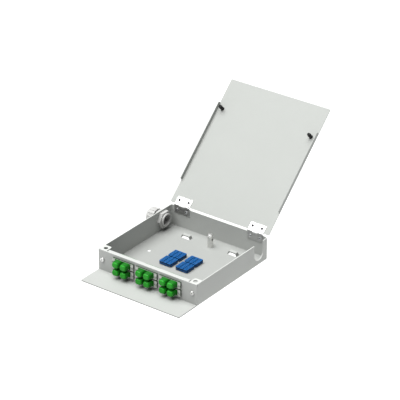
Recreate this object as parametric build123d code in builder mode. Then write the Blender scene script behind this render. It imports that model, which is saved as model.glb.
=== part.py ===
from build123d import *
import os
from math import cos, radians, sin, tan

# Small wall-mount fibre termination box in bent steel sheet, with its lid swung open.
# Millimetres. The origin is the centre of the box's underside, without the front apron.
# +X is right, -Y is the front, where the patch ports are, and +Z is up.

# Box
BOX_W = 160.0
BOX_D = 156.5
BOX_H = 31.2
APRON = 37.5
SHEET = 1.2
BEND_R = 2.6
SIDE = BOX_W / 2
FRONT = -BOX_D / 2
BACK = BOX_D / 2

# Corner tabs at the front, which take the lid's latches
TAB_W = 12.5
TAB_D = 13.4
LATCH_X = 72.9
LATCH_Y = FRONT + 6.8
TAB_HOLE_R = 3.0

# Cable entries, in one line with the tie bridges and the strength-member post
ENTRY_Y = 57.8
GLAND_Z = 17.2
GLAND_HOLE_R = 9.5
SLOT_R = 10.0
SLOT_Z = 16.0
TIE_X = 38.6
TIE_W = 5.1
TIE_HOLE = (15.2, 6.8)
TIE_RISE = 4.4
POST_X = 1.7
POST_Y = 56.8
POST_R = 4.0
POST_TOP = 18.0
POST_SHANK_R = 2.75
POST_HOLE_Z = 13.2
POST_HOLE_R = 1.9
CLAMP_SCREW_R = 1.65
CLAMP_HEAD = (3.5, 2.2)
WALL_HOLE_X = 57.5
WALL_HOLE_R = 2.25
WALL_SINK_R = 2.9

# Adapter panel
LIP_W = 132.0
LIP_D = 6.0
PANEL_SCREW = (73.1, 17.3)
GROUP_PITCH = 38.2
ROW_Z = (10.9, 22.3)
PORT_PITCH = 12.7
ADAPTER_BODY = (25.4, 9.3)
CUTOUT = (25.9, 9.7)
FLANGE = (34.8, 9.7, 2.2)
NECK_H = 8.5
FLANGE_SCREW_X = 15.4
ADAPTER_FRONT = 9.2
ADAPTER_REAR = 12.4
SHROUD = (10.4, 8.9)
SHROUD_CORNER = 3.2
PORT = (9.0, 7.4)
PORT_CORNER = 2.4
PORT_DEPTH = 9.8
CAP_GAP = 0.1
CAP_SLACK = 0.3
CAP_PLUG = 8.4
CAP_KNOB = (9.4, 8.0)
CAP_KNOB_CORNER = 3.4
CAP_KNOB_L = 2.3
CAP_DOME = 1.7
CAP_FLOOR = 1.5
SLEEVE_TUBE_R = 2.4
SLEEVE_R = 1.6
SLEEVE_BORE_R = 1.25
SLEEVE_L = 11.4

# Lid and its hinges
LID_SHEET = 1.0
LID_W = 162.6
LID_L = 190.8
LID_OPEN = 137.0
LID_EDGE = 1.75
LID_FLANGE_H = 4.6
LID_FLANGE_FROM = 33.6
LID_FLANGE_TO = 153.6
LEAF_T = 1.0
LEAF_W = 24.4
LEAF_L = 12.0
LEAF_GAP = 2.0
KNUCKLE_R = 1.6
PIN_R = 0.8
HINGE_X = 60.6
RIVET_X = 7.65
RIVET_L = 7.1
RIVET_R = 1.55
RIVET_TAIL_R = 2.1
RIVET_BORE_R = 1.25
RIVET_BORE_L = 2.6
TAIL_T = 0.5
AXIS_Y = BACK - SHEET - LEAF_T / 2
AXIS_Z = BOX_H + 2.6

# Splice holders
HOLDER = (19.4, 17.3, 1.2)
HOLDER_X = (-15.3, 11.5)
HOLDER_Y = (-12.5, 6.8)
HOLDER_CORNER = 1.8
PAD_T = 0.8
RIBS = 7
RIB_T = 1.0
RIB_LIP = 1.7
RIB_H = 3.2
LIP_T = 0.8
FINGER_GAP = 0.8

tilt = radians(180 - LID_OPEN)
# On both leaf planes X runs along the hinge and Y away from it; Z of the lid's plane is its
# inner side, and Z of the wall's plane is out through the back.
LID = Plane(origin=(0, AXIS_Y, AXIS_Z), x_dir=(1, 0, 0), z_dir=(0, -sin(tilt), cos(tilt)))
WALL = Plane(origin=(0, AXIS_Y, AXIS_Z), x_dir=(1, 0, 0), z_dir=(0, 1, 0))
LID_INNER = -LEAF_T / 2
LID_OUTER = LID_INNER - LID_SHEET
WALL_OUTER = LEAF_T / 2 + SHEET

os.makedirs("parts", exist_ok=True)


def save(piece, name):
    piece.part.label = name
    export_step(piece.part, f"parts/{name}.step")


def front_plane(y):
    """Plane across the box at depth y, extruding towards the back. Its own X runs left."""
    return Plane(origin=(0, y, 0), x_dir=(-1, 0, 0), z_dir=(0, 1, 0))


def at(x, z):
    """The point (x, z) of the box in the coordinates of front_plane."""
    return (-x, z)


# ---- Base tray: floor, front apron, three walls, front returns and corner tabs ----

with BuildPart() as tray:
    with BuildSketch() as floor_plan:
        with Locations((0, -APRON / 2)):
            Rectangle(BOX_W, BOX_D + APRON)
        fillet(floor_plan.vertices().group_by(Axis.Y)[-1], BEND_R)
        fillet(floor_plan.vertices().group_by(Axis.Y)[0], 1.5)
    extrude(amount=SHEET)
    with BuildSketch():
        with BuildLine():
            FilletPolyline(
                (-SIDE, FRONT + SHEET), (-SIDE, BACK), (SIDE, BACK), (SIDE, FRONT + SHEET),
                radius=BEND_R,
            )
            offset(amount=SHEET, side=Side.RIGHT)
        make_face()
    extrude(amount=BOX_H)
    for hand in (-1, 1):
        edge_x = hand * (SIDE - TAB_W / 2)
        with BuildSketch(Plane.XY.offset(SHEET)):
            with Locations((edge_x, FRONT + 1.5 * SHEET)):
                Rectangle(TAB_W, SHEET)
        extrude(amount=BOX_H - SHEET)
        with BuildSketch(Plane.XY.offset(BOX_H - SHEET)) as tab_plan:
            with Locations((edge_x, FRONT + SHEET + (TAB_D - SHEET) / 2)):
                Rectangle(TAB_W, TAB_D - SHEET)
            inner = tab_plan.vertices().group_by(Axis.Y)[-1].sort_by(Axis.X)
            fillet(inner[0] if hand > 0 else inner[-1], 3.0)
            with Locations((hand * LATCH_X, LATCH_Y)):
                Circle(TAB_HOLE_R, mode=Mode.SUBTRACT)
        extrude(amount=SHEET)
        # relief notch where the tab's bend meets the side wall
        with BuildSketch(Plane.XY.offset(BOX_H - 3.6)):
            with Locations((hand * SIDE, FRONT + SHEET + 0.4)):
                Rectangle(2 * SHEET, 0.8)
        extrude(amount=3.6, mode=Mode.SUBTRACT)
    # screw holes of the adapter panel, through the returns
    with BuildSketch(front_plane(FRONT + SHEET)):
        with Locations(at(-PANEL_SCREW[0], PANEL_SCREW[1]), at(*PANEL_SCREW)):
            Circle(2.1)
    extrude(amount=SHEET, mode=Mode.SUBTRACT)
    # round gland hole on the left, open slot for a gland or a grommet on the right
    with BuildSketch(Plane.YZ.offset(-SIDE)):
        with Locations((ENTRY_Y, GLAND_Z)):
            Circle(GLAND_HOLE_R)
    extrude(amount=SHEET, mode=Mode.SUBTRACT)
    with BuildSketch(Plane.YZ.offset(SIDE - SHEET)):
        with Locations((ENTRY_Y, SLOT_Z)):
            Circle(SLOT_R)
        with Locations((ENTRY_Y, SLOT_Z + BOX_H / 2)):
            Rectangle(2 * SLOT_R, BOX_H)
    extrude(amount=SHEET, mode=Mode.SUBTRACT)
    # rivet holes of the hinges
    with BuildSketch(WALL.offset(LEAF_T / 2)):
        for hand in (-1, 1):
            with Locations((hand * HINGE_X - RIVET_X, RIVET_L), (hand * HINGE_X + RIVET_X, RIVET_L)):
                Circle(RIVET_R + 0.05)
    extrude(amount=SHEET, mode=Mode.SUBTRACT)
    # wall screw holes, post hole and the openings under the tie bridges
    with Locations((-WALL_HOLE_X, 0, SHEET), (WALL_HOLE_X, 0, SHEET)):
        CounterSinkHole(WALL_HOLE_R, WALL_SINK_R, depth=SHEET, counter_sink_angle=90)
    with BuildSketch():
        with Locations((POST_X, POST_Y)):
            Circle(POST_SHANK_R)
        with Locations((-TIE_X, ENTRY_Y), (TIE_X, ENTRY_Y)):
            Rectangle(*TIE_HOLE)
    extrude(amount=SHEET, mode=Mode.SUBTRACT)
    # each tie bridge is a strip of the floor pressed up into an arch
    for hand in (-1, 1):
        foot = TIE_HOLE[0] / 2
        with BuildSketch(Plane.XZ.offset(-ENTRY_Y - TIE_W / 2)):
            with BuildLine():
                FilletPolyline(
                    (hand * TIE_X - foot - 2.0, SHEET / 2),
                    (hand * TIE_X - foot + 0.3, SHEET / 2),
                    (hand * TIE_X - foot + 2.4, SHEET / 2 + TIE_RISE),
                    (hand * TIE_X + foot - 2.4, SHEET / 2 + TIE_RISE),
                    (hand * TIE_X + foot - 0.3, SHEET / 2),
                    (hand * TIE_X + foot + 2.0, SHEET / 2),
                    radius=1.0,
                )
            trace(line_width=SHEET)
        extrude(amount=TIE_W)
save(tray, "base_tray")

# ---- Adapter panel: front plate with a folded top lip ----

with BuildPart() as panel:
    with BuildSketch(front_plane(FRONT)):
        with Locations(at(0, (SHEET + BOX_H) / 2)):
            Rectangle(BOX_W, BOX_H - SHEET)
        with Locations(*(
            at(column * GROUP_PITCH, row) for column in (-1, 0, 1) for row in ROW_Z
        )):
            Rectangle(*CUTOUT, mode=Mode.SUBTRACT)
            with Locations((-FLANGE_SCREW_X, 0), (FLANGE_SCREW_X, 0)):
                Circle(1.1, mode=Mode.SUBTRACT)
        with Locations(at(-PANEL_SCREW[0], PANEL_SCREW[1]), at(*PANEL_SCREW)):
            Circle(1.65, mode=Mode.SUBTRACT)
    extrude(amount=SHEET)
    with BuildSketch(Plane.XY.offset(BOX_H - SHEET)):
        with Locations((0, FRONT + LIP_D / 2)):
            Rectangle(LIP_W, LIP_D)
    extrude(amount=SHEET)
    top_front = panel.edges().filter_by(Axis.X).group_by(Axis.Z)[-1].group_by(Axis.Y)[0]
    fillet(top_front, 0.8)
    under_lip = panel.edges().filter_by(Axis.X).filter_by_position(
        Axis.Z, BOX_H - SHEET - 0.01, BOX_H - SHEET + 0.01
    ).group_by(Axis.Y)[0]
    fillet(under_lip, 0.6)
save(panel, "adapter_panel")

with BuildPart() as panel_screws:
    for hand in (-1, 1):
        spot = at(hand * PANEL_SCREW[0], PANEL_SCREW[1])
        with BuildSketch(front_plane(FRONT)):
            with Locations(spot):
                Circle(1.45)
        extrude(amount=5.4)
        with BuildSketch(front_plane(FRONT)):
            with Locations(spot):
                Circle(2.9)
        extrude(amount=-2.2)
        with BuildSketch(front_plane(FRONT - 2.2)):
            with Locations(spot):
                Rectangle(3.2, 0.7, rotation=35)
                Rectangle(0.7, 3.2, rotation=35)
        extrude(amount=1.3, mode=Mode.SUBTRACT)
    rims = panel_screws.edges().filter_by(GeomType.CIRCLE).group_by(Axis.Y)[0]
    fillet(rims, 0.9)
save(panel_screws, "panel_screws")

with BuildPart() as panel_nuts:
    with BuildSketch(front_plane(FRONT + 2 * SHEET)):
        with Locations(at(-PANEL_SCREW[0], PANEL_SCREW[1]), at(*PANEL_SCREW)):
            Circle(3.1)
            Circle(1.5, mode=Mode.SUBTRACT)
    extrude(amount=2.2)
    with BuildSketch(front_plane(FRONT + SHEET)):
        with Locations(at(-PANEL_SCREW[0], PANEL_SCREW[1]), at(*PANEL_SCREW)):
            Circle(2.05)
            Circle(1.5, mode=Mode.SUBTRACT)
    extrude(amount=SHEET)
save(panel_nuts, "panel_clinch_nuts")

# ---- SC duplex adapters: housing, flange, and a dust cap in each outer port ----


def adapter_housing(x, z):
    """Two halves welded round the flange: one rear body, a separate shroud per outer port."""
    with BuildPart() as housing:
        with BuildSketch(front_plane(FRONT)):
            with Locations(at(x, z)):
                Rectangle(*ADAPTER_BODY)
        extrude(amount=ADAPTER_REAR)
        with BuildSketch(front_plane(FRONT - FLANGE[2])):
            with Locations(at(x, z)):
                Rectangle(ADAPTER_BODY[0], NECK_H)
        extrude(amount=FLANGE[2])
        with BuildSketch(front_plane(FRONT - ADAPTER_FRONT)):
            with Locations(at(x - PORT_PITCH / 2, z), at(x + PORT_PITCH / 2, z)):
                RectangleRounded(*SHROUD, SHROUD_CORNER)
        extrude(amount=ADAPTER_FRONT - FLANGE[2])
        fillet(housing.faces().filter_by(Axis.Y).group_by(Axis.Y)[0].edges(), 0.45)
        with BuildSketch(front_plane(FRONT - ADAPTER_FRONT)):
            with Locations(at(x - PORT_PITCH / 2, z), at(x + PORT_PITCH / 2, z)):
                RectangleRounded(*PORT, PORT_CORNER)
        extrude(amount=PORT_DEPTH, mode=Mode.SUBTRACT)
        with BuildSketch(front_plane(FRONT + ADAPTER_REAR)):
            with Locations(at(x - PORT_PITCH / 2, z), at(x + PORT_PITCH / 2, z)):
                Rectangle(*PORT)
        extrude(amount=-PORT_DEPTH, mode=Mode.SUBTRACT)
        middle = FRONT + (ADAPTER_REAR - ADAPTER_FRONT) / 2
        with BuildSketch(front_plane(middle - SLEEVE_L / 2)):
            with Locations(at(x - PORT_PITCH / 2, z), at(x + PORT_PITCH / 2, z)):
                Circle(SLEEVE_TUBE_R)
        extrude(amount=SLEEVE_L)
        with BuildSketch(front_plane(middle - SLEEVE_L / 2)):
            with Locations(at(x - PORT_PITCH / 2, z), at(x + PORT_PITCH / 2, z)):
                Circle(SLEEVE_R + 0.05)
        extrude(amount=SLEEVE_L, mode=Mode.SUBTRACT)
        # latch windows along the top of the rear half
        with BuildSketch(Plane.XY.offset(z + ADAPTER_BODY[1] / 2)):
            with Locations(
                (x - PORT_PITCH / 2, FRONT + ADAPTER_REAR - 4.4),
                (x + PORT_PITCH / 2, FRONT + ADAPTER_REAR - 4.4),
            ):
                Rectangle(3.0, 2.2)
        extrude(amount=-1.5, mode=Mode.SUBTRACT)
    return housing


def adapter_flange(x, z):
    """Flat collar round the neck of the housing, screwed to the panel at both ends."""
    with BuildPart() as flange:
        with BuildSketch(front_plane(FRONT - FLANGE[2])):
            with Locations(at(x, z)):
                RectangleRounded(FLANGE[0], FLANGE[1], 0.8)
                Rectangle(ADAPTER_BODY[0], NECK_H, mode=Mode.SUBTRACT)
                with Locations((-FLANGE_SCREW_X, 0), (FLANGE_SCREW_X, 0)):
                    Circle(1.1, mode=Mode.SUBTRACT)
        extrude(amount=FLANGE[2])
    return flange


def dust_cap(x, z):
    """Hollow plug with a domed knob that closes one outer port."""
    seat = FRONT - ADAPTER_FRONT - CAP_GAP
    with BuildPart() as cap:
        with BuildSketch(front_plane(seat)):
            with Locations(at(x, z)):
                RectangleRounded(PORT[0] - CAP_SLACK, PORT[1] - CAP_SLACK, PORT_CORNER - CAP_SLACK / 2)
        extrude(amount=CAP_PLUG)
        with BuildSketch(front_plane(seat)):
            with Locations(at(x, z)):
                RectangleRounded(*CAP_KNOB, CAP_KNOB_CORNER)
        extrude(amount=-CAP_KNOB_L)
        fillet(cap.faces().sort_by(Axis.Y)[0].edges(), CAP_DOME)
        with BuildSketch(front_plane(seat + CAP_FLOOR)):
            with Locations(at(x, z)):
                Circle(SLEEVE_TUBE_R + 0.35)
        extrude(amount=CAP_PLUG, mode=Mode.SUBTRACT)
    return cap


ports = []
for group, column in enumerate((-1, 0, 1)):
    for level, row in enumerate(ROW_Z):
        number = 2 * group + level + 1
        centre_x = column * GROUP_PITCH
        save(adapter_housing(centre_x, row), f"sc_adapter_{number}")
        save(adapter_flange(centre_x, row), f"adapter_flange_{number}")
        for shift in (-PORT_PITCH / 2, PORT_PITCH / 2):
            ports.append((centre_x + shift, row))
            save(dust_cap(centre_x + shift, row), f"dust_cap_{len(ports):02d}")

flange_screws = [
    at(column * GROUP_PITCH + shift, row)
    for column in (-1, 0, 1)
    for row in ROW_Z
    for shift in (-FLANGE_SCREW_X, FLANGE_SCREW_X)
]

with BuildPart() as sleeves:
    middle = FRONT + (ADAPTER_REAR - ADAPTER_FRONT) / 2
    with BuildSketch(front_plane(middle - SLEEVE_L / 2)):
        with Locations(*(at(*port) for port in ports)):
            Circle(SLEEVE_R)
            Circle(SLEEVE_BORE_R, mode=Mode.SUBTRACT)
            with Locations((0, SLEEVE_R)):
                Rectangle(0.3, 2 * SLEEVE_R, mode=Mode.SUBTRACT)
    extrude(amount=SLEEVE_L)
save(sleeves, "alignment_sleeves")

with BuildPart() as adapter_screws:
    with BuildSketch(front_plane(FRONT - FLANGE[2])):
        with Locations(*flange_screws):
            Circle(0.95)
    extrude(amount=FLANGE[2] + SHEET + 2.4)
    with BuildSketch(front_plane(FRONT - FLANGE[2])):
        with Locations(*flange_screws):
            Circle(1.9)
    extrude(amount=-1.2)
    fillet(adapter_screws.edges().filter_by(GeomType.CIRCLE).group_by(Axis.Y)[0], 0.5)
    with BuildSketch(front_plane(FRONT - FLANGE[2] - 1.2)):
        with Locations(*flange_screws):
            Rectangle(2.2, 0.5)
            Rectangle(0.5, 2.2)
    extrude(amount=0.7, mode=Mode.SUBTRACT)
save(adapter_screws, "adapter_screws")

with BuildPart() as adapter_nuts:
    with BuildSketch(front_plane(FRONT + SHEET)):
        with Locations(*flange_screws):
            RegularPolygon(2.0, 6, major_radius=False)
            Circle(1.0, mode=Mode.SUBTRACT)
    extrude(amount=1.6)
save(adapter_nuts, "adapter_nuts")

# ---- Splice holders on foam pads ----

holder_spots = [(x, y) for y in HOLDER_Y for x in HOLDER_X]


def splice_holder(x, y):
    """Comb of ribs along X; each rib is cut into three fingers with a lip on top."""
    length, depth, base = HOLDER
    foot = SHEET + PAD_T
    top = foot + base + RIB_H
    pitch = (depth - RIB_LIP) / (RIBS - 1)
    with BuildPart() as holder:
        with BuildSketch(Plane.XY.offset(foot)):
            with Locations((x, y)):
                Rectangle(length, depth)
        extrude(amount=base)
        with BuildSketch(Plane.YZ.offset(x - length / 2)):
            with Locations((y, (foot + base + top) / 2)):
                with GridLocations(pitch, 0, RIBS, 1):
                    Rectangle(RIB_T, RIB_H)
            with Locations((y, top - LIP_T / 2)):
                with GridLocations(pitch, 0, RIBS, 1):
                    RectangleRounded(RIB_LIP, LIP_T, LIP_T / 3)
        extrude(amount=length)
        with BuildSketch(Plane.XY.offset(top)):
            with Locations((x - length / 6, y), (x + length / 6, y)):
                Rectangle(FINGER_GAP, depth + 1)
        extrude(amount=-RIB_H, mode=Mode.SUBTRACT)
        with BuildSketch(Plane.XY.offset(foot)):
            with Locations((x, y)):
                RectangleRounded(length, depth, HOLDER_CORNER)
        extrude(amount=base + RIB_H, mode=Mode.INTERSECT)
    return holder


for number, (spot_x, spot_y) in enumerate(holder_spots, start=1):
    save(splice_holder(spot_x, spot_y), f"splice_holder_{number}")

with BuildPart() as pads:
    with BuildSketch(Plane.XY.offset(SHEET)):
        with Locations(*holder_spots):
            Rectangle(HOLDER[0] - 1.2, HOLDER[1] - 1.2)
    extrude(amount=PAD_T)
save(pads, "holder_foam_pads")

# ---- Strength-member post, clinched into the floor, with its clamp screw ----

with BuildPart() as post:
    with BuildSketch(Plane.XY.offset(SHEET)):
        with Locations((POST_X, POST_Y)):
            Circle(POST_R)
    extrude(amount=POST_TOP - SHEET)
    fillet(post.edges().filter_by(GeomType.CIRCLE).group_by(Axis.Z)[-1], 0.4)
    with BuildSketch():
        with Locations((POST_X, POST_Y)):
            Circle(POST_SHANK_R)
    extrude(amount=SHEET)
    with BuildSketch(Plane.YZ.offset(POST_X - POST_R - 1)):
        with Locations((POST_Y, POST_HOLE_Z)):
            Circle(POST_HOLE_R)
    extrude(amount=2 * POST_R + 2, mode=Mode.SUBTRACT)
    with BuildSketch(Plane.XY.offset(POST_HOLE_Z)):
        with Locations((POST_X, POST_Y)):
            Circle(CLAMP_SCREW_R + 0.05)
    extrude(amount=POST_TOP, mode=Mode.SUBTRACT)
save(post, "strength_member_post")

with BuildPart() as clamp_screw:
    with BuildSketch(Plane.XY.offset(POST_HOLE_Z + POST_HOLE_R + 0.3)):
        with Locations((POST_X, POST_Y)):
            Circle(CLAMP_SCREW_R)
    extrude(amount=POST_TOP - POST_HOLE_Z - POST_HOLE_R - 0.3)
    with BuildSketch(Plane.XY.offset(POST_TOP)):
        with Locations((POST_X, POST_Y)):
            Circle(CLAMP_HEAD[0])
    extrude(amount=CLAMP_HEAD[1])
    fillet(clamp_screw.edges().filter_by(GeomType.CIRCLE).group_by(Axis.Z)[-1], 0.7)
    with BuildSketch(Plane.XY.offset(POST_TOP + CLAMP_HEAD[1])):
        with Locations((POST_X, POST_Y)):
            Rectangle(2 * CLAMP_HEAD[0] + 0.2, 0.9, rotation=50)
    extrude(amount=-CLAMP_HEAD[1] / 2, mode=Mode.SUBTRACT)
save(clamp_screw, "post_clamp_screw")

# ---- Cable gland in the left wall, on an axis along X ----

GLAND_HEX = 20.8
LOCKNUT = (22.4, 5.0)
GLAND_BORE_R = 7.4
THREAD_R = 9.3
THREAD_IN = 7.3
THREAD_SLACK = 0.08
WASHER = (11.6, 1.6)
COLLAR_T = 4.9
RING = (9.9, 1.2)
NUT_GAP = 1.5
NUT_R = 11.4
NUT_L = 13.8
NUT_DOME = 5.0
NUT_GRIPS = 16
GRIP_R = 0.7
SEAL_R = 8.2
SEAL_BORE_R = 5.0
SEAL_L = 6.6
SEAL_SEAT = 5.5
MOUTH_L = 9.0
inside_x = -SIDE + SHEET
collar_x = -SIDE - WASHER[1] - COLLAR_T
mouth_x = collar_x - MOUTH_L
nut_x = collar_x - NUT_GAP
dome_x = nut_x - NUT_L + NUT_DOME


def across(x):
    """Plane of the gland at x, its centre on the gland's axis: X towards the back, Y up."""
    return Plane(origin=(x, ENTRY_Y, GLAND_Z), x_dir=(0, 1, 0), z_dir=(1, 0, 0))


def corner_cut(flat, x, way):
    """Profile that turns down a hexagon's corners at its end x, which faces way along the axis."""
    corner = flat / 2 / cos(radians(30))
    back = x - way * (corner - flat / 2) * tan(radians(30))
    return (x, flat / 2), (x, corner + 1), (back, corner + 1), (back, corner)


# profile of the turned gland parts: its own X along the axis, its own Y outwards
gland_profile = Plane(origin=(0, ENTRY_Y, GLAND_Z), x_dir=(1, 0, 0), z_dir=(0, 1, 0))
gland_axis = Axis((0, ENTRY_Y, GLAND_Z), (1, 0, 0))

with BuildPart() as gland_body:
    with BuildSketch(across(collar_x)):
        RegularPolygon(GLAND_HEX / 2, 6, major_radius=False, rotation=0)
    extrude(amount=COLLAR_T)
    with BuildSketch(gland_profile):
        with BuildLine():
            Polyline(*corner_cut(GLAND_HEX, collar_x, -1), close=True)
        make_face()
    revolve(axis=gland_axis, mode=Mode.SUBTRACT)
    with BuildSketch(across(mouth_x)):
        Circle(THREAD_R)
    extrude(amount=inside_x + THREAD_IN - mouth_x)
    with BuildSketch(across(mouth_x)):
        Circle(GLAND_BORE_R)
    extrude(amount=inside_x + THREAD_IN - mouth_x, mode=Mode.SUBTRACT)
    with BuildSketch(across(mouth_x)):
        Circle(SEAL_R + 0.1)
    extrude(amount=SEAL_SEAT, mode=Mode.SUBTRACT)
    ends = gland_body.edges().filter_by(GeomType.CIRCLE).group_by(Axis.X)
    chamfer(ends[-1].sort_by(SortBy.RADIUS)[-1], 0.6)
save(gland_body, "gland_body")

with BuildPart() as gland_washer:
    with BuildSketch(across(-SIDE - WASHER[1])):
        Circle(WASHER[0])
        Circle(THREAD_R + THREAD_SLACK, mode=Mode.SUBTRACT)
    extrude(amount=WASHER[1])
save(gland_washer, "gland_washer")

with BuildPart() as gland_neck_ring:
    with BuildSketch(across(collar_x - RING[1])):
        Circle(RING[0])
        Circle(THREAD_R + THREAD_SLACK, mode=Mode.SUBTRACT)
    extrude(amount=RING[1])
save(gland_neck_ring, "gland_neck_ring")

with BuildPart() as gland_locknut:
    with BuildSketch(across(inside_x)):
        RegularPolygon(LOCKNUT[0] / 2, 6, major_radius=False, rotation=0)
    extrude(amount=LOCKNUT[1])
    with BuildSketch(gland_profile):
        with BuildLine():
            Polyline(*corner_cut(LOCKNUT[0], inside_x + LOCKNUT[1], 1), close=True)
        make_face()
    revolve(axis=gland_axis, mode=Mode.SUBTRACT)
    with BuildSketch(across(inside_x)):
        Circle(THREAD_R + THREAD_SLACK)
    extrude(amount=LOCKNUT[1], mode=Mode.SUBTRACT)
save(gland_locknut, "gland_locknut")

with BuildPart() as gland_seal:
    with BuildSketch(across(mouth_x + SEAL_SEAT - 0.1 - SEAL_L)):
        Circle(SEAL_R)
        Circle(SEAL_BORE_R, mode=Mode.SUBTRACT)
    extrude(amount=SEAL_L)
    outer = gland_seal.edges().filter_by(GeomType.CIRCLE).group_by(Axis.X)[0]
    chamfer(outer.sort_by(SortBy.RADIUS)[-1], 1.1)
save(gland_seal, "gland_seal")

with BuildPart() as gland_nut:
    far_x = nut_x - NUT_L
    shoulder_x = mouth_x - 0.4
    mouth_r = SEAL_R - 1.4
    thread_r = THREAD_R + THREAD_SLACK
    with BuildSketch(gland_profile):
        with BuildLine():
            Line((nut_x, NUT_R), (dome_x, NUT_R))
            arc = CenterArc((dome_x, NUT_R - NUT_DOME), NUT_DOME, 90, 70)
            Polyline(
                arc @ 1, (far_x + 0.3, mouth_r), (far_x + 2.4, mouth_r), (shoulder_x, SEAL_R + 0.4),
                (shoulder_x, thread_r), (nut_x, thread_r), (nut_x, NUT_R),
            )
        make_face()
    revolve(axis=gland_axis)
    with BuildSketch(across(dome_x)):
        with PolarLocations(NUT_R, NUT_GRIPS):
            Circle(GRIP_R)
        Circle(NUT_R - 0.6, mode=Mode.SUBTRACT)
    extrude(amount=nut_x - dome_x)
save(gland_nut, "gland_dome_nut")

# ---- Lid, swung open, and its hinges ----

with BuildPart() as lid:
    with BuildSketch(LID.offset(LID_OUTER)):
        with Locations((0, LID_EDGE + LID_L / 2)):
            RectangleRounded(LID_W, LID_L, 1.5)
    extrude(amount=LID_SHEET)
    with BuildSketch(LID.offset(LID_OUTER)):
        for hand in (-1, 1):
            with Locations((
                hand * (LID_W - LID_SHEET) / 2, LID_EDGE + (LID_FLANGE_FROM + LID_FLANGE_TO) / 2
            )):
                Rectangle(LID_SHEET, LID_FLANGE_TO - LID_FLANGE_FROM)
    extrude(amount=LID_SHEET + LID_FLANGE_H)
    with BuildSketch(LID.offset(LID_OUTER)):
        with Locations((-LATCH_X, AXIS_Y - LATCH_Y), (LATCH_X, AXIS_Y - LATCH_Y)):
            Circle(2.8)
        for hand in (-1, 1):
            with Locations((hand * HINGE_X - RIVET_X, RIVET_L), (hand * HINGE_X + RIVET_X, RIVET_L)):
                Circle(RIVET_R + 0.05)
    extrude(amount=LID_SHEET, mode=Mode.SUBTRACT)
save(lid, "lid_panel")


def hinge_leaf(plane, middle_x, knuckles, bore_r):
    """Leaf on one of the two leaf planes, with its knuckles rolled round the axis."""
    axis = (middle_x, AXIS_Y, AXIS_Z)
    side = Plane(origin=axis, x_dir=plane.y_dir, z_dir=(1, 0, 0))
    with BuildPart() as leaf:
        with BuildSketch(side.offset(-LEAF_W / 2)):
            with Locations(((LEAF_GAP + LEAF_L) / 2, 0)):
                Rectangle(LEAF_L - LEAF_GAP, LEAF_T)
        extrude(amount=LEAF_W)
        for start, width in knuckles:
            with BuildSketch(side.offset(start)):
                Circle(KNUCKLE_R)
                with Locations((LEAF_GAP / 2 + 0.1, 0)):
                    Rectangle(LEAF_GAP + 0.2, LEAF_T)
                Circle(bore_r, mode=Mode.SUBTRACT)
            extrude(amount=width)
        face = Plane(origin=axis, x_dir=(1, 0, 0), z_dir=plane.z_dir)
        with BuildSketch(face.offset(-LEAF_T / 2)):
            with Locations((-RIVET_X, RIVET_L), (RIVET_X, RIVET_L)):
                Circle(RIVET_R + 0.05)
        extrude(amount=LEAF_T, mode=Mode.SUBTRACT)
    return leaf


def hinge_rivets(plane, head, tail):
    """Four tubular rivets: domed heads outside, rolled hollow ends on the leaves."""
    out = 1 if head > tail else -1
    spots = [(hand * HINGE_X + shift, RIVET_L) for hand in (-1, 1) for shift in (-RIVET_X, RIVET_X)]
    with BuildPart() as rivets:
        with BuildSketch(plane.offset(head)):
            with Locations(*spots):
                Circle(2.8)
        extrude(amount=out * 1.2)
        fillet(rivets.edges().filter_by(GeomType.CIRCLE).sort_by(
            lambda edge: out * plane.to_local_coords(edge.center()).Z)[-len(spots):], 0.9)
        with BuildSketch(plane.offset(tail)):
            with Locations(*spots):
                Circle(RIVET_R)
        extrude(amount=head - tail)
        with BuildSketch(plane.offset(tail)):
            with Locations(*spots):
                Circle(RIVET_TAIL_R)
        extrude(amount=-out * TAIL_T)
        fillet(rivets.edges().filter_by(GeomType.CIRCLE).sort_by(
            lambda edge: -out * plane.to_local_coords(edge.center()).Z)[-len(spots):], 0.25)
        with BuildSketch(plane.offset(tail - out * TAIL_T)):
            with Locations(*spots):
                Circle(RIVET_BORE_R)
        extrude(amount=out * RIVET_BORE_L, mode=Mode.SUBTRACT)
    return rivets


wall_knuckles = ((-LEAF_W / 2, 7.5), (LEAF_W / 2 - 7.5, 7.5))
lid_knuckles = ((-LEAF_W / 2 + 7.7, LEAF_W - 15.4),)
for side_name, hand in (("left", -1), ("right", 1)):
    save(hinge_leaf(WALL, hand * HINGE_X, wall_knuckles, PIN_R), f"hinge_wall_leaf_{side_name}")
    save(hinge_leaf(LID, hand * HINGE_X, lid_knuckles, PIN_R + 0.07), f"hinge_lid_leaf_{side_name}")
    with BuildPart() as pin:
        pin_end = Plane(
            origin=(hand * HINGE_X - LEAF_W / 2 - 0.4, AXIS_Y, AXIS_Z), x_dir=(0, 1, 0), z_dir=(1, 0, 0)
        )
        with BuildSketch(pin_end):
            Circle(PIN_R)
        extrude(amount=LEAF_W + 0.4)
        with BuildSketch(pin_end.offset(LEAF_W + 0.4)):
            Circle(1.3)
        extrude(amount=0.7)
    save(pin, f"hinge_pin_{side_name}")
save(hinge_rivets(LID, LID_OUTER, LEAF_T / 2), "hinge_rivets_lid")
save(hinge_rivets(WALL, WALL_OUTER, -LEAF_T / 2), "hinge_rivets_wall")

# ---- Push-in latches: split grommet through the lid, plunger down its middle ----

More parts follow.
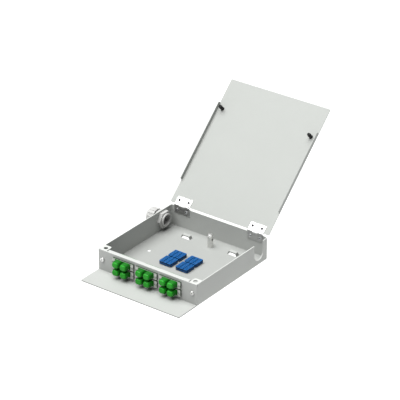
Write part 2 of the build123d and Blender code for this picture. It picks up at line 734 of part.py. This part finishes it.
LATCH_TIP = 8.6
GROMMET_R = 2.4
PLUNGER_R = 1.25
latch_far = AXIS_Y - LATCH_Y
for side_name, hand in (("left", -1), ("right", 1)):
    spine = Plane(
        origin=LID.from_local_coords(Vector(hand * LATCH_X, latch_far, 0)), x_dir=(1, 0, 0), z_dir=-LID.y_dir
    )
    with BuildPart() as grommet:
        with BuildSketch(spine):
            with BuildLine():
                Polyline(
                    (PLUNGER_R + 0.1, LID_OUTER - 1.4), (4.6, LID_OUTER - 1.4), (4.6, LID_OUTER),
                    (GROMMET_R + 0.3, LID_OUTER), (GROMMET_R + 0.3, LID_INNER),
                    (GROMMET_R, LID_INNER + 0.4), (GROMMET_R, 4.0), (GROMMET_R + 0.3, 5.2),
                    (GROMMET_R - 0.4, LATCH_TIP), (PLUNGER_R + 0.1, LATCH_TIP), close=True,
                )
            make_face()
        latch_axis = Axis(spine.origin, LID.z_dir)
        revolve(axis=latch_axis)
    save(grommet, f"latch_grommet_{side_name}")
    with BuildPart() as plunger:
        with BuildSketch(spine):
            with BuildLine():
                Polyline(
                    (0, LID_OUTER - 3.4), (3.4, LID_OUTER - 3.4), (3.7, LID_OUTER - 3.1),
                    (3.7, LID_OUTER - 1.5), (PLUNGER_R, LID_OUTER - 1.5), (PLUNGER_R, LATCH_TIP - 0.8),
                    (0, LATCH_TIP - 0.4), close=True,
                )
            make_face()
        revolve(axis=latch_axis)
    save(plunger, f"latch_plunger_{side_name}")
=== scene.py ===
import math

import bpy
from mathutils import Euler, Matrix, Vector


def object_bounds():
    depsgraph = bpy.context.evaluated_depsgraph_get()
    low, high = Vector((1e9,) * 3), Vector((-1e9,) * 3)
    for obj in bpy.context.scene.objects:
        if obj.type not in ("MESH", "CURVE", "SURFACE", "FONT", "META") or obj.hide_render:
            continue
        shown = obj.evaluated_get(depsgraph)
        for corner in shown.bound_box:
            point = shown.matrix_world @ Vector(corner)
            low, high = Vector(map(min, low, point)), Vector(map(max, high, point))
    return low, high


# Looks of a small wall-mount fibre termination box. Metres, in the frame of the CAD model:
# the origin is the centre of the box's underside, -Y the front, +Z up.

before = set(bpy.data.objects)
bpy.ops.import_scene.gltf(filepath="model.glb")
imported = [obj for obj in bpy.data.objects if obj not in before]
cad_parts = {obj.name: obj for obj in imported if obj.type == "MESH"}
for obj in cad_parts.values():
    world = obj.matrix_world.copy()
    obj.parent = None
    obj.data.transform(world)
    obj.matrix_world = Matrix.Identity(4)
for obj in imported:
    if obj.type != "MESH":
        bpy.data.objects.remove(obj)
cad_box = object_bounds()

MM = 0.001
CAMERA_AZIMUTH = 36.7
CAMERA_ELEVATION = 27.73
CAMERA_DISTANCE = 2.9504
CAMERA_LENS = 203.95
CAMERA_SENSOR = 36
CAMERA_FAR = 50
CAMERA_TARGET = Vector((0.0111, 0.0211, 0.0894))
FLOOR_SIZE = 14.0

UP = (0, 0, 1)
FRONT = (0, -1, 0)
# Height at which the top edges of the walls and of the adapter panel's lip begin; their up-facing
# faces get a painted highlight
RIM = 30.9 * MM
# A painted patch fades in over this many millimetres
PATCH_FADE = 0.4
BEVEL_SAMPLES = 6
# The sockets for colours of a Mix node, which shares their names among its other types
MIX_A, MIX_B, MIX_RESULT = 6, 7, 2

# Lights: the softbox stands in front, to the left and above, and the wash is for the floor alone
SOFTBOX = {"energy": 6.2, "angle": 64, "lean": (12, -10)}
FLOOR_WASH = {"energy": 4.3, "angle": 34, "lean": (0, 0)}
FILL = 0.16
MIRRORED = 0.5


# ---- Materials ----


class Shader:
    """One procedural material: a Principled shader and short calls that feed its sockets."""

    def __init__(self, name, **constants):
        self.material = bpy.data.materials.new(name)
        self.material.use_nodes = True
        self.tree = self.material.node_tree
        self.tree.nodes.clear()
        self.output = self.node("ShaderNodeOutputMaterial")
        self.shader = self.node("ShaderNodeBsdfPrincipled")
        self.link(self.shader.outputs["BSDF"], self.output.inputs["Surface"])
        for socket, value in constants.items():
            self.shader.inputs[socket.replace("_", " ")].default_value = value
        self.coordinates = self.node("ShaderNodeTexCoord")
        self.place = self.coordinates.outputs["Object"]

    def node(self, kind, **settings):
        made = self.tree.nodes.new(kind)
        for setting, value in settings.items():
            setattr(made, setting, value)
        return made

    def link(self, start, end):
        self.tree.links.new(start, end)

    def noise(self, size, detail=2.0, roughness=0.5, stretch=(1, 1, 1)):
        """Noise whose features are about size metres wide, from 0 to 1."""
        mapping = self.node("ShaderNodeMapping")
        mapping.inputs["Scale"].default_value = stretch
        self.link(self.place, mapping.inputs["Vector"])
        texture = self.node("ShaderNodeTexNoise")
        texture.inputs["Scale"].default_value = 1 / size
        texture.inputs["Detail"].default_value = detail
        texture.inputs["Roughness"].default_value = roughness
        self.link(mapping.outputs["Vector"], texture.inputs["Vector"])
        return texture.outputs["Fac"]

    def spread(self, value, low, high, start=0.3, end=0.7):
        """Value stretched from start..end to low..high."""
        ranged = self.node("ShaderNodeMapRange")
        ranged.inputs["From Min"].default_value = start
        ranged.inputs["From Max"].default_value = end
        ranged.inputs["To Min"].default_value = low
        ranged.inputs["To Max"].default_value = high
        self.link(value, ranged.inputs["Value"])
        return ranged.outputs["Result"]

    def blend(self, fac, a, b):
        """Colour a where fac is 0 and b where it is 1. Either may be a socket."""
        mixed = self.node("ShaderNodeMix", data_type="RGBA")
        self.link(fac, mixed.inputs["Factor"])
        for value, socket in ((a, mixed.inputs[MIX_A]), (b, mixed.inputs[MIX_B])):
            if isinstance(value, bpy.types.NodeSocket):
                self.link(value, socket)
            else:
                socket.default_value = (*value, 1)
        return mixed.outputs[MIX_RESULT]

    def along(self, axis, low, high):
        """0 at low and 1 at high, in metres along one axis of the box as it is stored."""
        split = self.node("ShaderNodeSeparateXYZ")
        self.link(self.place, split.inputs[0])
        return self.spread(split.outputs[axis], 0, 1, low, high)

    def within(self, low, high):
        """1 inside a box given by two corners, in millimetres as the part is stored, else 0."""
        inside = None
        for axis, a, b in zip("XYZ", low, high):
            for start, end in ((a, a + PATCH_FADE), (b, b - PATCH_FADE)):
                step = self.along(axis, start * MM, end * MM)
                inside = self.times(inside, step) if inside else step
        return inside

    def facing(self, way, start, end):
        """0 to 1 as the cosine of the angle between the surface and way goes from start to end."""
        dot = self.node("ShaderNodeVectorMath", operation="DOT_PRODUCT")
        dot.inputs[1].default_value = way
        self.link(self.coordinates.outputs["Normal"], dot.inputs[0])
        return self.spread(dot.outputs["Value"], 0, 1, start, end)

    def times(self, a, b):
        product = self.node("ShaderNodeMath", operation="MULTIPLY")
        self.link(a, product.inputs[0])
        self.link(b, product.inputs[1])
        return product.outputs[0]

    def edges(self, radius):
        """1 along sharp edges, within about radius metres of them, and 0 elsewhere."""
        rounded = self.node("ShaderNodeBevel", samples=BEVEL_SAMPLES)
        rounded.inputs["Radius"].default_value = radius
        flat = self.node("ShaderNodeNewGeometry")
        dot = self.node("ShaderNodeVectorMath", operation="DOT_PRODUCT")
        self.link(rounded.outputs["Normal"], dot.inputs[0])
        self.link(flat.outputs["Normal"], dot.inputs[1])
        return self.spread(dot.outputs["Value"], 1, 0, 0.75, 0.99)

    def colour(self, socket):
        self.link(socket, self.shader.inputs["Base Color"])

    def rough(self, socket):
        self.link(socket, self.shader.inputs["Roughness"])

    def bump(self, height, distance, round_edges=0.0):
        """Relief distance metres deep, over edges rounded by round_edges metres to the eye."""
        relief = self.node("ShaderNodeBump")
        relief.inputs["Strength"].default_value = 1.0
        relief.inputs["Distance"].default_value = distance
        self.link(height, relief.inputs["Height"])
        if round_edges:
            rounded = self.node("ShaderNodeBevel", samples=BEVEL_SAMPLES)
            rounded.inputs["Radius"].default_value = round_edges
            self.link(rounded.outputs["Normal"], relief.inputs["Normal"])
        self.link(relief.outputs["Normal"], self.shader.inputs["Normal"])


def tint(colour, factor):
    return tuple(min(1.0, channel * factor) for channel in colour)


def powder_coat(name, colour, roughness=0.46, rim=None, patches=()):
    """Fine orange-peel paint on sheet steel. Up-facing faces above the height rim are painted
    paler, a painted highlight where light falls on them unshaded. Each patch is a box, a way its
    faces look, and how bright the paint is there."""
    paint = Shader(name, Specular_IOR_Level=0.35)
    cloud = paint.spread(paint.noise(45 * MM, 3), 0, 1)
    grain = paint.noise(0.9 * MM, 2, 0.6)
    body = paint.blend(cloud, tint(colour, 0.975), tint(colour, 1.02))
    speckled = paint.blend(paint.spread(grain, 0, 1, 0.25, 0.75), tint(colour, 0.97), body)
    # Edges paler: partly paint worn thin, partly a painted highlight where the edges catch light
    wear_and_painted_light = paint.blend(paint.edges(0.18 * MM), speckled, tint(colour, 1.15))
    if rim:
        # Up-facing faces above the rim painted paler: a painted highlight
        above = paint.along("Z", rim, rim + 0.2 * MM)
        top = paint.times(above, paint.facing(UP, 0.6, 0.9))
        wear_and_painted_light = paint.blend(top, wear_and_painted_light, tint(colour, 1.3))
    # Each patch repaints its faces lighter or darker; the patches that dress() gives are painted
    # shade
    for low, high, (way, start, end), factor in patches:
        there = paint.times(paint.within(low, high), paint.facing(way, start, end))
        wear_and_painted_light = paint.blend(there, wear_and_painted_light, tint(colour, factor))
    paint.colour(wear_and_painted_light)
    paint.rough(paint.spread(grain, roughness - 0.05, roughness + 0.06))
    paint.bump(grain, 0.04 * MM, 0.12 * MM)
    return paint.material


def moulded(name, colour, roughness, shine=0.5, side=None):
    """Injection-moulded plastic: fine spark-eroded grain, soft edges, faint flow marks. When side
    is given, the sides of a piece are painted side times as bright as its top: painted shade for
    the light that falls from above."""
    plastic = Shader(name, Specular_IOR_Level=shine)
    flow = plastic.spread(plastic.noise(6 * MM, 2, 0.5, (1, 0.4, 1)), 0, 1)
    grain = plastic.noise(0.5 * MM, 2, 0.55)
    body = plastic.blend(flow, tint(colour, 0.9), tint(colour, 1.08))
    rubbed_and_side_shade = plastic.blend(plastic.edges(0.25 * MM), body, tint(colour, 1.25))
    if side:
        # Sides painted darker than the top: painted shade
        rubbed_and_side_shade = plastic.blend(plastic.facing(UP, 0.3, 0.8), tint(colour, side), rubbed_and_side_shade)
    plastic.colour(rubbed_and_side_shade)
    plastic.rough(plastic.spread(grain, roughness - 0.06, roughness + 0.08))
    plastic.bump(grain, 0.02 * MM, 0.2 * MM)
    return plastic.material


def plated(name, colour, roughness, brush=(1, 1, 1), metallic=1.0, relief=0.012 * MM):
    """Plated steel: fine scratches, drawn out where brush differs, and brighter edges."""
    metal = Shader(name, Metallic=metallic)
    scratch = metal.noise(0.6 * MM, 3, 0.6, brush)
    stain = metal.spread(metal.noise(4 * MM, 2), 0, 1)
    body = metal.blend(stain, tint(colour, 0.86), tint(colour, 1.03))
    metal.colour(metal.blend(metal.edges(0.2 * MM), body, tint(colour, 1.15)))
    metal.rough(metal.spread(scratch, roughness - 0.07, roughness + 0.1))
    metal.bump(scratch, relief, 0.15 * MM)
    return metal.material


def adapter_collar(name, face, side):
    """Moulded collar with a pale front face and dark sides."""
    plastic = Shader(name)
    grain = plastic.noise(0.5 * MM, 2, 0.55)
    flow = plastic.spread(plastic.noise(5 * MM, 2), 0, 1)
    front = plastic.blend(flow, tint(face, 0.93), tint(face, 1.06))
    plastic.colour(plastic.blend(plastic.facing(FRONT, 0.5, 0.8), side, front))
    plastic.rough(plastic.spread(grain, 0.36, 0.5))
    plastic.bump(grain, 0.02 * MM, 0.15 * MM)
    return plastic.material


def rubber(name, colour):
    """Soft black rubber with a dusty bloom."""
    soft = Shader(name)
    bloom = soft.spread(soft.noise(3 * MM, 4, 0.65), 0, 1)
    grain = soft.noise(0.4 * MM, 2)
    soft.colour(soft.blend(bloom, colour, tint(colour, 2.2)))
    soft.rough(soft.spread(grain, 0.62, 0.8))
    soft.bump(grain, 0.03 * MM, 0.2 * MM)
    return soft.material


def foam(name, colour):
    """Closed-cell adhesive foam."""
    pad = Shader(name, Roughness=0.9)
    cells = pad.node("ShaderNodeTexVoronoi")
    cells.inputs["Scale"].default_value = 1 / (0.4 * MM)
    pad.link(pad.place, cells.inputs["Vector"])
    depth = cells.outputs["Distance"]
    shade = pad.spread(depth, 0, 1, 0, 0.6)
    pad.colour(pad.blend(shade, tint(colour, 1.05), tint(colour, 0.7)))
    pad.bump(depth, 0.08 * MM)
    return pad.material


def dress():
    """Gives every CAD node the material of the first key that its name starts with."""
    tray = powder_coat("tray_powder_coat", (0.372, 0.383, 0.368), rim=RIM, patches=[
        # The floor inside is painted darker: painted shade where the walls and lid shut out light
        ((-79, -77, -1), (79, 78, 3), (UP, 0.6, 0.9), 0.80),
        # The apron's cut edges are painted darker: painted shade on the sheet's thin edge faces
        ((-90, -200, -1), (90, -79, 3), (UP, 0.3, 0), 0.42),
        # The sheared edges of the bridges pressed out of the floor are painted darker: painted
        # shade
        ((-60, 50, 1.2), (60, 66, 6.5), ((0.7, -0.7, 0), 0.3, 0.6), 0.5),
    ])
    zinc = plated("zinc_plate", (0.62, 0.63, 0.64), 0.36)
    bright = plated("bright_screws", (0.70, 0.70, 0.69), 0.30, relief=0.004 * MM)
    black = rubber("black_rubber", (0.008, 0.008, 0.008))
    dressed = {
        "base_tray": tray,
        "adapter_panel": powder_coat("panel_powder_coat", (0.345, 0.354, 0.343), 0.42, RIM),
        "lid_panel": powder_coat("lid_powder_coat", (0.318, 0.330, 0.314)),
        "panel_screws": bright,
        "panel_clinch_nuts": zinc,
        "adapter_screws": moulded("painted_screws", (0.30, 0.31, 0.29), 0.45),
        "adapter_nuts": zinc,
        "alignment_sleeves": moulded("zirconia", (0.86, 0.85, 0.80), 0.2),
        "sc_adapter": moulded("adapter_green", (0.003, 0.125, 0.004), 0.38, shine=0.25),
        "dust_cap": moulded("cap_green", (0.006, 0.225, 0.006), 0.32, shine=0.25),
        "adapter_flange": adapter_collar("flange_white", (0.43, 0.44, 0.415),
                                         (0.022, 0.045, 0.022)),
        # The holders' sides are painted darker than their tops: painted shade
        "splice_holder": moulded("holder_blue", (0.002, 0.092, 0.300), 0.38, shine=0.25,
                                 side=0.3),
        "holder_foam_pads": foam("pad_foam", (0.62, 0.62, 0.60)),
        "strength_member_post": plated("nickel_plate", (0.72, 0.72, 0.70), 0.36, (1, 1, 4),
                                       relief=0.005 * MM),
        "post_clamp_screw": bright,
        # The two leaves of one hinge are lit and shaded copies of one plating: the wall leaf is
        # painted darker, a painted shade, and the lid leaf nearly white, a painted reflection of
        # the bright studio
        "hinge_wall_leaf": plated("hinge_leaf_painted_shade", (0.45, 0.45, 0.445), 0.42, (1, 5, 1)),
        "hinge_lid_leaf": plated("hinge_leaf_painted_reflection", (0.92, 0.92, 0.91), 0.34, (1, 5, 1),
                                 metallic=0.5),
        "hinge_pin": zinc,
        "hinge_rivets_wall": zinc,
        "hinge_rivets_lid": plated("dark_rivets", (0.16, 0.16, 0.165), 0.42),
        "latch": moulded("black_nylon", (0.006, 0.006, 0.0065), 0.45, shine=0.2),
        "gland_washer": black,
        "gland_neck_ring": black,
        "gland_seal": black,
        "gland": moulded("light_polyamide", (0.40, 0.40, 0.39), 0.45),
    }
    for name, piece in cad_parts.items():
        start = next(key for key in dressed if name.startswith(key))
        piece.data.materials.clear()
        piece.data.materials.append(dressed[start])


# ---- Floor, light and camera ----


def make_floor():
    """Pale sheet under the whole scene, at the underside of the CAD model."""
    half = FLOOR_SIZE / 2
    low = cad_box[0][2]
    mesh = bpy.data.meshes.new("floor")
    corners = [(-half, -half, low), (half, -half, low), (half, half, low), (-half, half, low)]
    mesh.from_pydata(corners, [], [(0, 1, 2, 3)])
    floor = bpy.data.objects.new("floor", mesh)
    bpy.context.collection.objects.link(floor)
    paper = Shader("floor_paper", Roughness=0.85)
    cloud = paper.spread(paper.noise(500 * MM), 0, 1)
    paper.colour(paper.blend(cloud, (0.92, 0.925, 0.92), (0.94, 0.94, 0.94)))
    mesh.materials.append(paper.material)
    return floor


def make_sun(name, energy, angle, lean, floor, on_floor):
    """Sun that leans by two angles about X and Y, on the floor only or on all but the floor."""
    data = bpy.data.lights.new(name, "SUN")
    data.energy = energy
    data.angle = math.radians(angle)
    data.use_shadow = not on_floor
    lamp = bpy.data.objects.new(name, data)
    lamp.rotation_euler = Euler([math.radians(a) for a in lean] + [0])
    bpy.context.collection.objects.link(lamp)
    lit = bpy.data.collections.new(name + "_receivers")
    lit.objects.link(floor)
    lit.collection_objects[0].light_linking.link_state = "INCLUDE" if on_floor else "EXCLUDE"
    lamp.light_linking.receiver_collection = lit


def make_world(fill, mirrored):
    """White to the camera, a soft fill on matt surfaces and a pale studio in glossy ones."""
    world = bpy.data.worlds.new("studio")
    bpy.context.scene.world = world
    world.use_nodes = True
    tree = world.node_tree
    tree.nodes.clear()
    rays = tree.nodes.new("ShaderNodeLightPath")
    shown = None
    for strength, colour, ray in (
        (fill, (0.98, 0.99, 1, 1), None),
        (mirrored, (1, 1, 1, 1), "Is Glossy Ray"),
        (1.0, (1, 1, 1, 1), "Is Camera Ray"),
    ):
        background = tree.nodes.new("ShaderNodeBackground")
        background.inputs["Color"].default_value = colour
        background.inputs["Strength"].default_value = strength
        if ray:
            mixed = tree.nodes.new("ShaderNodeMixShader")
            tree.links.new(rays.outputs[ray], mixed.inputs["Fac"])
            tree.links.new(shown, mixed.inputs[1])
            tree.links.new(background.outputs[0], mixed.inputs[2])
            shown = mixed.outputs[0]
        else:
            shown = background.outputs[0]
    output = tree.nodes.new("ShaderNodeOutputWorld")
    tree.links.new(shown, output.inputs["Surface"])


def make_camera():
    """Camera that looks at CAMERA_TARGET along CAMERA_AZIMUTH and CAMERA_ELEVATION."""
    azimuth, elevation = math.radians(CAMERA_AZIMUTH), math.radians(CAMERA_ELEVATION)
    back = Vector((
        math.cos(elevation) * math.sin(azimuth),
        -math.cos(elevation) * math.cos(azimuth),
        math.sin(elevation),
    ))
    data = bpy.data.cameras.new("camera")
    data.lens = CAMERA_LENS
    data.sensor_width = CAMERA_SENSOR
    data.clip_end = CAMERA_FAR
    camera = bpy.data.objects.new("camera", data)
    camera.location = CAMERA_TARGET + CAMERA_DISTANCE * back
    camera.rotation_euler = Euler((math.pi / 2 - elevation, 0, azimuth))
    bpy.context.collection.objects.link(camera)
    bpy.context.scene.camera = camera


dress()
ground = make_floor()
make_sun("softbox", **SOFTBOX, floor=ground, on_floor=False)
make_sun("floor_wash", **FLOOR_WASH, floor=ground, on_floor=True)
make_world(FILL, MIRRORED)
make_camera()
bpy.context.scene.view_settings.view_transform = "Standard"
